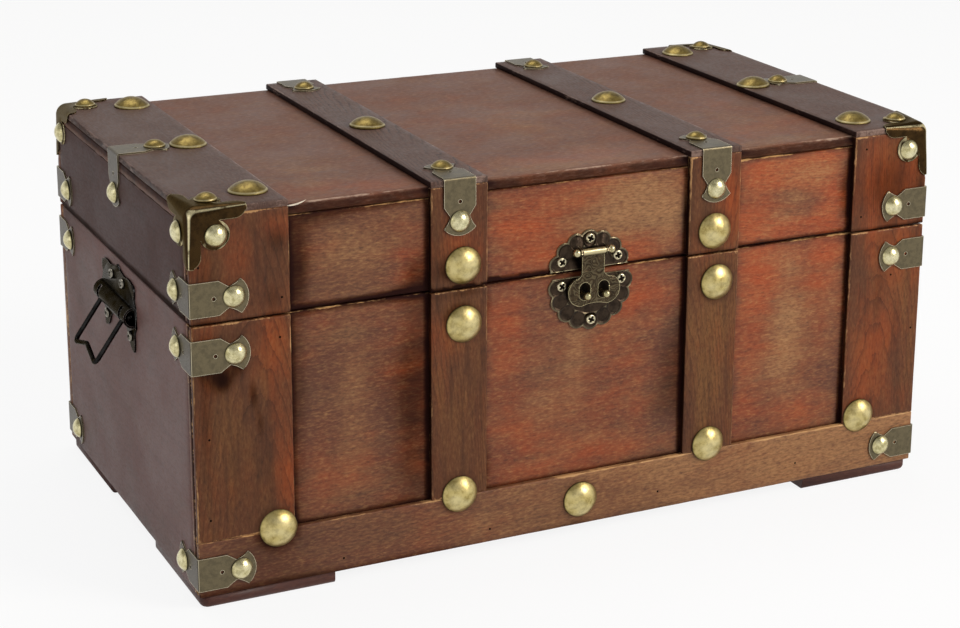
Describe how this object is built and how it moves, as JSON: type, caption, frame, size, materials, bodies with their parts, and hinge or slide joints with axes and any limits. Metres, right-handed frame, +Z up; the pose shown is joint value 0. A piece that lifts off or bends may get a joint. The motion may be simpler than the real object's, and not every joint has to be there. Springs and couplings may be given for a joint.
{
  "type": "sea chest",
  "caption": "Low wooden chest with a flat hinged lid, raised wooden straps, pressed metal corners and brackets, domed nails, a rosette latch with a swinging hasp and drop handles on flat feet.",
  "frame": {"origin": "on the floor, under the middle of the wooden box, at the underside of the feet", "axes": "+X to the chest's right along its length as seen from in front, -Y out of the latched front, +Z up; the lid is closed, the hasp hangs over its posts and both bails hang"},
  "size_m": [0.4178, 0.2246, 0.1887],
  "materials": {
    "board_wood": "stained, satin",
    "strap_wood": "stained dark, satin",
    "foot_wood": "stained dark, satin",
    "stud_brass": "antique, polished domes",
    "corner_brass": "antique bronze, pressed sheet",
    "latch_brass": "antique bronze, embossed",
    "screw_steel": "bright zinc",
    "handle_bronze": "dark bronze"
  },
  "bodies": {
    "base": {"base_front_board": "board_wood", "base_back_board": "board_wood", "base_left_board": "board_wood", "base_right_board": "board_wood", "base_floor_board": "board_wood", "base_bottom_rail": "strap_wood", "base_strap_left_end": "strap_wood", "base_strap_left_middle": "strap_wood", "base_strap_right_middle": "strap_wood", "base_strap_right_end": "strap_wood", "foot_front_left": "foot_wood", "foot_front_right": "foot_wood", "foot_back_left": "foot_wood", "foot_back_right": "foot_wood", "base_upper_brackets": "corner_brass", "base_lower_brackets": "corner_brass", "base_large_studs": "stud_brass", "base_small_studs": "stud_brass", "latch_lower_plate": "latch_brass", "latch_posts": "latch_brass", "latch_lower_screws": "screw_steel", "handle_plate_left": "handle_bronze", "handle_plate_right": "handle_bronze", "handle_screws": "screw_steel", "hinge_base_leaf_left": "latch_brass", "hinge_base_leaf_right": "latch_brass", "hinge_pins": "latch_brass", "hinge_base_screws": "screw_steel"},
    "lid": {"lid_front_board": "board_wood", "lid_back_board": "board_wood", "lid_left_board": "board_wood", "lid_right_board": "board_wood", "lid_top_board": "board_wood", "lid_top_strap_left_end": "strap_wood", "lid_top_strap_left_middle": "strap_wood", "lid_top_strap_right_middle": "strap_wood", "lid_top_strap_right_end": "strap_wood", "lid_front_strap_left_end": "strap_wood", "lid_front_strap_left_middle": "strap_wood", "lid_front_strap_right_middle": "strap_wood", "lid_front_strap_right_end": "strap_wood", "corner_cap_front_left": "corner_brass", "corner_cap_front_right": "corner_brass", "corner_cap_back_left": "corner_brass", "corner_cap_back_right": "corner_brass", "lid_corner_brackets": "corner_brass", "lid_edge_brackets": "corner_brass", "lid_large_studs": "stud_brass", "lid_small_studs": "stud_brass", "latch_upper_plate": "latch_brass", "latch_upper_screws": "screw_steel", "latch_pin": "latch_brass", "hinge_lid_leaf_left": "latch_brass", "hinge_lid_leaf_right": "latch_brass", "hinge_lid_screws": "screw_steel"},
    "hasp": {"hasp": "latch_brass"},
    "left_bail": {"handle_bail_left": "handle_bronze"},
    "right_bail": {"handle_bail_right": "handle_bronze"}
  },
  "joints": [
    {"name": "lid_hinge", "type": "hinge", "parent": "base", "child": "lid", "pos_m": [0, 0.1095, 0.13245], "axis": [-1, 0, 0], "range_deg": [0, 110]},
    {"name": "hasp_hinge", "type": "hinge", "parent": "lid", "child": "hasp", "pos_m": [0.0025, -0.1094, 0.14265], "axis": [-1, 0, 0], "range_deg": [0, 190]},
    {"name": "left_bail_swing", "type": "hinge", "parent": "base", "child": "left_bail", "pos_m": [-0.1926, 0.002, 0.11075], "axis": [0, 1, 0], "range_deg": [0, 110]},
    {"name": "right_bail_swing", "type": "hinge", "parent": "base", "child": "right_bail", "pos_m": [0.1926, 0.002, 0.11075], "axis": [0, -1, 0], "range_deg": [0, 110]}
  ]
}
